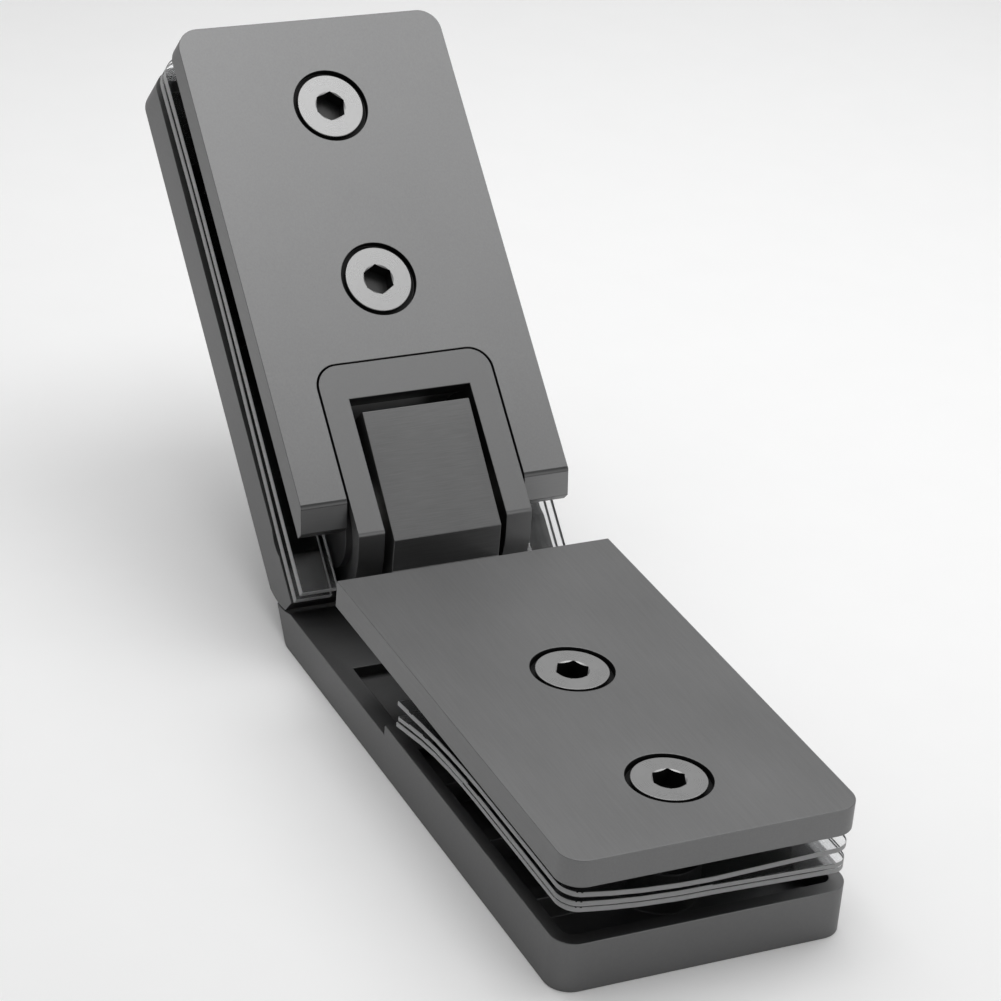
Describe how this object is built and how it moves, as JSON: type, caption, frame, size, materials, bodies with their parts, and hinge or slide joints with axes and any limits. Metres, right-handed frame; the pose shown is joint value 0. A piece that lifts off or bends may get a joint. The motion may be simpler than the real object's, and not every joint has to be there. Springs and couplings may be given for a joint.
{
  "type": "glass door hinge",
  "caption": "Clamp hinge for a frameless glass shower door, bent to 135 degrees, with screwed cover plates, a yoke round a pivot block and clear gaskets for the panes.",
  "frame": {"origin": "on the outer face of the fixed leaf, which lies on the floor plane, midway between its two cover screws", "axes": "+X along the pivot pin to the right as seen from the fixed leaf's far end, +Y from the fixed leaf's far end towards the pin and the door leaf, +Z from the fixed leaf's outer face towards its cover plate"},
  "size_m": [0.05, 0.186, 0.0886],
  "materials": {
    "gunmetal": "satin gunmetal plating, finely brushed",
    "stainless_steel": "bare turned stainless steel",
    "clear_gasket": "clear soft plastic sheet",
    "white_bush": "plain moulded plastic"
  },
  "bodies": {
    "fixed_leaf": {"fixed_back_plate": "gunmetal", "fixed_cover": "gunmetal", "fixed_gasket_upper": "clear_gasket", "fixed_gasket_middle": "clear_gasket", "fixed_gasket_lower": "clear_gasket", "fixed_screw_near": "stainless_steel", "fixed_screw_far": "stainless_steel", "pivot_block": "gunmetal", "block_screw_near": "stainless_steel", "block_screw_far": "stainless_steel", "plunger_left": "stainless_steel", "plunger_right": "stainless_steel", "spring_left": "stainless_steel", "spring_right": "stainless_steel", "plug_left": "stainless_steel", "plug_right": "stainless_steel", "pin_bush_left": "white_bush", "pin_bush_right": "white_bush"},
    "door_leaf": {"door_back_plate": "gunmetal", "door_cover": "gunmetal", "door_gasket_rear": "clear_gasket", "door_gasket_front": "clear_gasket", "door_screw_near": "stainless_steel", "door_screw_far": "stainless_steel", "pivot_pin": "stainless_steel", "pin_cap_left": "gunmetal", "pin_cap_right": "gunmetal"}
  },
  "joints": [
    {"name": "door_swing", "type": "hinge", "parent": "fixed_leaf", "child": "door_leaf", "pos_m": [0, 0.07745, 0.0199], "axis": [1, 0, 0], "range_deg": [0, 93]}
  ]
}
